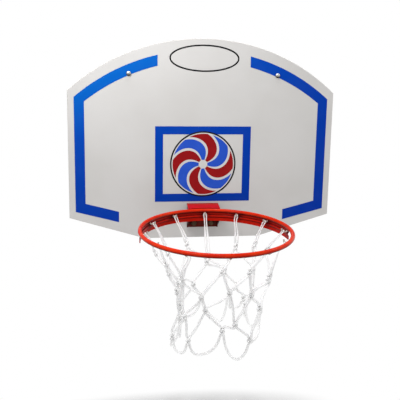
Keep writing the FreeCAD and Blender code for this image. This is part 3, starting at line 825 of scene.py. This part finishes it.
def screwTree():
    tree, given = newTree("fixingScrews", {"Head Radius": "Float", "Head Sides": "Int", "Head Rings": "Int",
                                           "Dome": "Float", "Rim": "Float", "Shank Radius": "Float",
                                           "Shank Sides": "Int", "Shank": "Float", "Spacing": "Float",
                                           "Place": "Vector", "Material": "Material"})
    disc = tree.node("GeometryNodeMeshCylinder", {"fill_type": "TRIANGLE_FAN"},
                     {"Vertices": given["Head Sides"], "Side Segments": 1,
                      "Fill Segments": given["Head Rings"], "Radius": given["Head Radius"],
                      "Depth": given["Rim"]})["Mesh"]
    parts = tree.split(tree.node("GeometryNodeInputPosition")[0])
    out = tree.node("ShaderNodeVectorMath", {"operation": "LENGTH"},
                    {0: tree.vector(parts["X"], parts["Y"])})["Value"]
    share = out / given["Head Radius"]
    rise = given["Dome"] * (1 - share * share).atLeast(0.0).root() * (parts["Z"] > 0.0)
    head = tree.node("GeometryNodeSetPosition", None,
                     {"Geometry": disc, "Offset": tree.vector(0.0, 0.0, rise)})[0]
    head = tree.turned(head, (0, 0, 0), tree.vector(0.0, 0.0, given["Rim"] * 0.5))
    shank = tree.node("GeometryNodeMeshCylinder", {"fill_type": "NGON"},
                      {"Vertices": given["Shank Sides"], "Radius": given["Shank Radius"],
                       "Depth": given["Shank"]})["Mesh"]
    shank = tree.turned(shank, (0, 0, 0), tree.vector(0.0, 0.0, given["Shank"] * -0.5))
    screw = tree.node("GeometryNodeJoinGeometry", None, {0: [head, shank]})[0]
    upright = tree.turned(screw, standUp)
    spots = tree.node("GeometryNodePoints", None,
                      {"Count": 2, "Position": tree.vector(
                          (tree.node("GeometryNodeInputIndex")[0] - 0.5) * given["Spacing"])})[0]
    pair = tree.node("GeometryNodeInstanceOnPoints", None, {"Points": spots, "Instance": upright})[0]
    smooth = tree.node("GeometryNodeSetShadeSmooth", None, {"Geometry": pair, "Shade Smooth": True})[0]
    endTree(tree, tree.turned(smooth, (0, 0, 0), given["Place"]), given["Material"])
    return tree


wallHoles = next(mount for mount in frame["record"]["mounts"] if mount["name"] == "wall_holes")
growPiece("fixingScrews", screwTree(),
          {**screwMake, "Spacing": wallHoles["dims"]["spacing_x_mm"] / 1000,
           "Place": Vector((0, frontY - borderMake["film"], wallHoles["pos_m"][2])),
           "Material": brightNickel})

# camera, from where the board is seen a little from the left and from just above the rim
photoView = {"place": (-0.15372, -1.02160, -0.04284), "right": 6.010, "up": -7.403, "lean": 0.613,
             "lens": 40.903, "sensor": 36.0, "shift": (0.0439, -0.1178)}


def addCamera():
    data = bpy.data.cameras.new("photoCamera")
    data.lens = photoView["lens"]
    data.sensor_width = photoView["sensor"]
    data.shift_x, data.shift_y = photoView["shift"]
    turn, tilt, lean = (math.radians(photoView[key]) for key in ("right", "up", "lean"))
    ahead = Vector((math.sin(turn) * math.cos(tilt), math.cos(turn) * math.cos(tilt), math.sin(tilt)))
    side = Vector((math.cos(turn), -math.sin(turn), 0))
    above = side.cross(ahead)
    across = side * math.cos(lean) + above * math.sin(lean)
    upward = above * math.cos(lean) - side * math.sin(lean)
    camera = bpy.data.objects.new("photoCamera", data)
    camera.matrix_world = Matrix.Translation(photoView["place"]) @ Matrix(
        (across, upward, -ahead)).transposed().to_4x4()
    bpy.context.scene.collection.objects.link(camera)
    bpy.context.scene.camera = camera


# pale floor well below the net, and a white surround
roomMake = {"floorDrop": 0.17, "floorSize": 12.0, "floorColour": (0.92, 0.92, 0.92, 1),
            "shadowPatchGrey": (0.56, 0.56, 0.56, 1), "white": (1, 1, 1, 1), "fill": 0.56,
            "shadowWide": 0.374, "shadowDeep": 0.080, "shadowPlace": (-0.08, -0.1665)}


def seenDirectly(tree):
    path = tree.node("ShaderNodeLightPath")
    return path["Is Camera Ray"].atLeast(path["Is Glossy Ray"]).atLeast(path["Is Transmission Ray"])


def paintFloor(tree):
    # white where it is looked at, apart from a soft grey patch under the part: a painted shadow, which also
    # shows the lamps' real shadow there
    parts = tree.split(tree.objectCoords())
    across = (parts["X"] - roomMake["shadowPlace"][0]) / roomMake["shadowWide"]
    deep = (parts["Y"] - roomMake["shadowPlace"][1]) / roomMake["shadowDeep"]
    # the mask of the painted shadow patch
    share = tree.spread(across * across + deep * deep, 0.0, 1.0, 1.0, 0.0)
    seen = seenDirectly(tree)
    colour = tree.mixColour(seen, roomMake["floorColour"], roomMake["shadowPatchGrey"])
    plain = tree.node("ShaderNodeBsdfDiffuse", None, {"Color": colour})["BSDF"]
    white = tree.node("ShaderNodeEmission", None, {"Color": roomMake["white"], "Strength": 1.0})["Emission"]
    return tree.node("ShaderNodeMixShader", None, {0: seen * (1 - share), 1: plain, 2: white})[0]


def addRoom():
    half = roomMake["floorSize"] / 2
    low = cadBox[0].z - roomMake["floorDrop"]
    mesh = bpy.data.meshes.new("floor")
    mesh.from_pydata([(-half, -half, low), (half, -half, low), (half, half, low), (-half, half, low)],
                     [], [(0, 1, 2, 3)])
    mesh.materials.append(newMaterial("paleFloor", paintFloor))
    linkPiece("floor", mesh)
    world = bpy.data.worlds.new("studio")
    world.use_nodes = True
    world.node_tree.nodes.clear()
    tree = NodeTree(world.node_tree)
    fill = tree.node("ShaderNodeBackground", None,
                     {"Color": roomMake["white"], "Strength": roomMake["fill"]})[0]
    white = tree.node("ShaderNodeBackground", None, {"Color": roomMake["white"], "Strength": 1.0})[0]
    shown = tree.node("ShaderNodeMixShader", None, {0: seenDirectly(tree), 1: fill, 2: white})[0]
    tree.node("ShaderNodeOutputWorld", None, {"Surface": shown})
    bpy.context.scene.world = world


# soft boxes, all turned to one spot: place, size and power of each
lampAim = (0, -0.1, -0.15)
lamps = {"keyBox": ((-0.38, -0.45, 0.52), 0.34, 6.0), "topBox": ((0.0, -0.26, 1.30), 0.30, 10.0),
         "sideBox": ((1.5, -0.3, 0.75), 0.4, 4.0)}


def addLamps():
    for name, (place, size, power) in lamps.items():
        data = bpy.data.lights.new(name, "AREA")
        data.shape = "DISK"
        data.size = size
        data.energy = power
        lamp = bpy.data.objects.new(name, data)
        lamp.visible_camera = False
        lamp.location = place
        lamp.rotation_euler = (Vector(lampAim) - Vector(place)).to_track_quat("-Z", "Y").to_euler()
        bpy.context.scene.collection.objects.link(lamp)


addCamera()
addRoom()
addLamps()
bpy.context.scene.view_settings.view_transform = "Standard"
print("camera, floor and lamps are in place")
